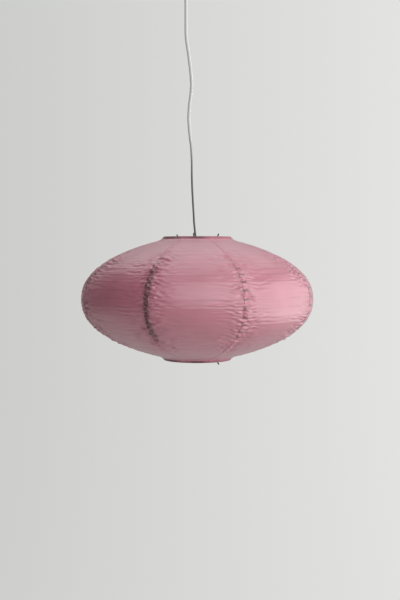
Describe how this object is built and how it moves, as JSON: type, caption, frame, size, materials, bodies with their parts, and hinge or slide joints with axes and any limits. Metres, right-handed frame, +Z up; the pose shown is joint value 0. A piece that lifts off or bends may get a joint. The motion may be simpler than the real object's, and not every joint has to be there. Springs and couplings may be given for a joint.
{
  "type": "pendant paper lantern",
  "caption": "Flattened globe of pink paper on wire hoops, hung from a ceiling cup by a flat cord, with a wire expander, lampholder and bulb inside. The shade folds up flat.",
  "frame": {"origin": "middle of the ceiling bracket's flat top face, where the lamp is fixed to the ceiling", "axes": "+Z up into the ceiling, -Y the front, +X to the right seen from the front; the shade's own axis is vertical, 19 mm to the right of the origin, because the cord keeps a set"},
  "size_m": [0.3948, 0.3948, 0.7107],
  "materials": {
    "paper": "thin dyed paper, slightly glossy",
    "wire": "drawn spring wire",
    "steel": "zinc plated",
    "brass": "stamped",
    "nickel": "nickel plated",
    "ceramic": "glazed",
    "opal_plastic": "opal diffuser",
    "white_plastic": "moulded",
    "cord": "flat twin cord, PVC sheath"
  },
  "bodies": {
    "suspension": {"ceiling_bracket": "steel", "ceiling_hook": "steel", "cord_anchor": "white_plastic", "terminal_block": "white_plastic", "cord": "cord", "lampholder_grip": "white_plastic", "expander_nut": "white_plastic", "expander_arm_left": "wire", "expander_arm_right": "wire", "lampholder_cap": "white_plastic", "lampholder_skirt": "white_plastic", "lampholder_insert": "ceramic", "screw_shell": "brass", "centre_contact": "brass", "top_ring": "wire", "paper_gore_1": "paper", "paper_gore_2": "paper", "paper_gore_3": "paper", "paper_gore_4": "paper", "paper_gore_5": "paper", "paper_gore_6": "paper", "paper_gore_7": "paper", "paper_gore_8": "paper"},
    "ceiling_cup": {"ceiling_cup": "white_plastic", "cord_lock": "white_plastic", "lock_screw": "steel"},
    "bulb": {"bulb_contact": "brass", "bulb_cap": "nickel", "bulb_housing": "white_plastic", "bulb_globe": "opal_plastic"},
    "leg_left": {"expander_leg_left": "wire"},
    "leg_right": {"expander_leg_right": "wire"},
    "bottom_rim": {"bottom_ring": "wire"},
    "hoop_01": {"hoop_01": "wire"},
    "hoop_02": {"hoop_02": "wire"},
    "hoop_03": {"hoop_03": "wire"},
    "hoop_04": {"hoop_04": "wire"},
    "hoop_05": {"hoop_05": "wire"},
    "hoop_06": {"hoop_06": "wire"},
    "hoop_07": {"hoop_07": "wire"},
    "hoop_08": {"hoop_08": "wire"},
    "hoop_09": {"hoop_09": "wire"},
    "hoop_10": {"hoop_10": "wire"},
    "hoop_11": {"hoop_11": "wire"},
    "hoop_12": {"hoop_12": "wire"},
    "hoop_13": {"hoop_13": "wire"},
    "hoop_14": {"hoop_14": "wire"},
    "hoop_15": {"hoop_15": "wire"},
    "hoop_16": {"hoop_16": "wire"},
    "hoop_17": {"hoop_17": "wire"},
    "hoop_18": {"hoop_18": "wire"},
    "hoop_19": {"hoop_19": "wire"},
    "hoop_20": {"hoop_20": "wire"},
    "hoop_21": {"hoop_21": "wire"},
    "hoop_22": {"hoop_22": "wire"},
    "hoop_23": {"hoop_23": "wire"},
    "hoop_24": {"hoop_24": "wire"},
    "hoop_25": {"hoop_25": "wire"},
    "hoop_26": {"hoop_26": "wire"}
  },
  "joints": [
    {"name": "shade_collapse", "type": "slide", "parent": "suspension", "child": "bottom_rim", "axis": [0, 0, 1], "range_m": [0, 0.179], "deforming": ["paper_gore_1", "paper_gore_2", "paper_gore_3", "paper_gore_4", "paper_gore_5", "paper_gore_6", "paper_gore_7", "paper_gore_8"]},
    {"name": "hoop_01_lift", "type": "slide", "parent": "suspension", "child": "hoop_01", "axis": [0, 0, 1], "range_m": [0, 0.00532]},
    {"name": "hoop_02_lift", "type": "slide", "parent": "suspension", "child": "hoop_02", "axis": [0, 0, 1], "range_m": [0, 0.0084]},
    {"name": "hoop_03_lift", "type": "slide", "parent": "suspension", "child": "hoop_03", "axis": [0, 0, 1], "range_m": [0, 0.01191]},
    {"name": "hoop_04_lift", "type": "slide", "parent": "suspension", "child": "hoop_04", "axis": [0, 0, 1], "range_m": [0, 0.01585]},
    {"name": "hoop_05_lift", "type": "slide", "parent": "suspension", "child": "hoop_05", "axis": [0, 0, 1], "range_m": [0, 0.02023]},
    {"name": "hoop_06_lift", "type": "slide", "parent": "suspension", "child": "hoop_06", "axis": [0, 0, 1], "range_m": [0, 0.02511]},
    {"name": "hoop_07_lift", "type": "slide", "parent": "suspension", "child": "hoop_07", "axis": [0, 0, 1], "range_m": [0, 0.03057]},
    {"name": "hoop_08_lift", "type": "slide", "parent": "suspension", "child": "hoop_08", "axis": [0, 0, 1], "range_m": [0, 0.03672]},
    {"name": "hoop_09_lift", "type": "slide", "parent": "suspension", "child": "hoop_09", "axis": [0, 0, 1], "range_m": [0, 0.04371]},
    {"name": "hoop_10_lift", "type": "slide", "parent": "suspension", "child": "hoop_10", "axis": [0, 0, 1], "range_m": [0, 0.05176]},
    {"name": "hoop_11_lift", "type": "slide", "parent": "suspension", "child": "hoop_11", "axis": [0, 0, 1], "range_m": [0, 0.06109]},
    {"name": "hoop_12_lift", "type": "slide", "parent": "suspension", "child": "hoop_12", "axis": [0, 0, 1], "range_m": [0, 0.0718]},
    {"name": "hoop_13_lift", "type": "slide", "parent": "suspension", "child": "hoop_13", "axis": [0, 0, 1], "range_m": [0, 0.08351]},
    {"name": "hoop_14_lift", "type": "slide", "parent": "suspension", "child": "hoop_14", "axis": [0, 0, 1], "range_m": [0, 0.0955]},
    {"name": "hoop_15_lift", "type": "slide", "parent": "suspension", "child": "hoop_15", "axis": [0, 0, 1], "range_m": [0, 0.10721]},
    {"name": "hoop_16_lift", "type": "slide", "parent": "suspension", "child": "hoop_16", "axis": [0, 0, 1], "range_m": [0, 0.11792]},
    {"name": "hoop_17_lift", "type": "slide", "parent": "suspension", "child": "hoop_17", "axis": [0, 0, 1], "range_m": [0, 0.12725]},
    {"name": "hoop_18_lift", "type": "slide", "parent": "suspension", "child": "hoop_18", "axis": [0, 0, 1], "range_m": [0, 0.1353]},
    {"name": "hoop_19_lift", "type": "slide", "parent": "suspension", "child": "hoop_19", "axis": [0, 0, 1], "range_m": [0, 0.14229]},
    {"name": "hoop_20_lift", "type": "slide", "parent": "suspension", "child": "hoop_20", "axis": [0, 0, 1], "range_m": [0, 0.14844]},
    {"name": "hoop_21_lift", "type": "slide", "parent": "suspension", "child": "hoop_21", "axis": [0, 0, 1], "range_m": [0, 0.1539]},
    {"name": "hoop_22_lift", "type": "slide", "parent": "suspension", "child": "hoop_22", "axis": [0, 0, 1], "range_m": [0, 0.15878]},
    {"name": "hoop_23_lift", "type": "slide", "parent": "suspension", "child": "hoop_23", "axis": [0, 0, 1], "range_m": [0, 0.16316]},
    {"name": "hoop_24_lift", "type": "slide", "parent": "suspension", "child": "hoop_24", "axis": [0, 0, 1], "range_m": [0, 0.1671]},
    {"name": "hoop_25_lift", "type": "slide", "parent": "suspension", "child": "hoop_25", "axis": [0, 0, 1], "range_m": [0, 0.17061]},
    {"name": "hoop_26_lift", "type": "slide", "parent": "suspension", "child": "hoop_26", "axis": [0, 0, 1], "range_m": [0, 0.17369]},
    {"name": "bulb_unscrew", "type": "slide", "parent": "suspension", "child": "bulb", "axis": [0, 0, -1], "range_m": [0, 0.024]},
    {"name": "ceiling_cup_slide", "type": "slide", "parent": "suspension", "child": "ceiling_cup", "axis": [0, 0, -1], "range_m": [0, 0.06]},
    {"name": "leg_left_squeeze", "type": "hinge", "parent": "suspension", "child": "leg_left", "pos_m": [-0.0128, 0.03858, -0.5035], "axis": [-0.7716, -0.6361, 0], "range_deg": [0, 6], "stiffness_Nm_per_rad": 1},
    {"name": "leg_right_squeeze", "type": "hinge", "parent": "suspension", "child": "leg_right", "pos_m": [0.0508, -0.03858, -0.5035], "axis": [0.7716, 0.6361, 0], "range_deg": [0, 6], "stiffness_Nm_per_rad": 1}
  ],
  "couplings": [
    {"joint": "hoop_01_lift", "follows": "shade_collapse", "ratio": 0.029704},
    {"joint": "hoop_02_lift", "follows": "shade_collapse", "ratio": 0.04689},
    {"joint": "hoop_03_lift", "follows": "shade_collapse", "ratio": 0.066512},
    {"joint": "hoop_04_lift", "follows": "shade_collapse", "ratio": 0.088505},
    {"joint": "hoop_05_lift", "follows": "shade_collapse", "ratio": 0.113},
    {"joint": "hoop_06_lift", "follows": "shade_collapse", "ratio": 0.14028},
    {"joint": "hoop_07_lift", "follows": "shade_collapse", "ratio": 0.17077},
    {"joint": "hoop_08_lift", "follows": "shade_collapse", "ratio": 0.20511},
    {"joint": "hoop_09_lift", "follows": "shade_collapse", "ratio": 0.24418},
    {"joint": "hoop_10_lift", "follows": "shade_collapse", "ratio": 0.28915},
    {"joint": "hoop_11_lift", "follows": "shade_collapse", "ratio": 0.34128},
    {"joint": "hoop_12_lift", "follows": "shade_collapse", "ratio": 0.40107},
    {"joint": "hoop_13_lift", "follows": "shade_collapse", "ratio": 0.46649},
    {"joint": "hoop_14_lift", "follows": "shade_collapse", "ratio": 0.53351},
    {"joint": "hoop_15_lift", "follows": "shade_collapse", "ratio": 0.59893},
    {"joint": "hoop_16_lift", "follows": "shade_collapse", "ratio": 0.65872},
    {"joint": "hoop_17_lift", "follows": "shade_collapse", "ratio": 0.71085},
    {"joint": "hoop_18_lift", "follows": "shade_collapse", "ratio": 0.75582},
    {"joint": "hoop_19_lift", "follows": "shade_collapse", "ratio": 0.79489},
    {"joint": "hoop_20_lift", "follows": "shade_collapse", "ratio": 0.82923},
    {"joint": "hoop_21_lift", "follows": "shade_collapse", "ratio": 0.85972},
    {"joint": "hoop_22_lift", "follows": "shade_collapse", "ratio": 0.887},
    {"joint": "hoop_23_lift", "follows": "shade_collapse", "ratio": 0.9115},
    {"joint": "hoop_24_lift", "follows": "shade_collapse", "ratio": 0.93349},
    {"joint": "hoop_25_lift", "follows": "shade_collapse", "ratio": 0.95311},
    {"joint": "hoop_26_lift", "follows": "shade_collapse", "ratio": 0.9703}
  ]
}
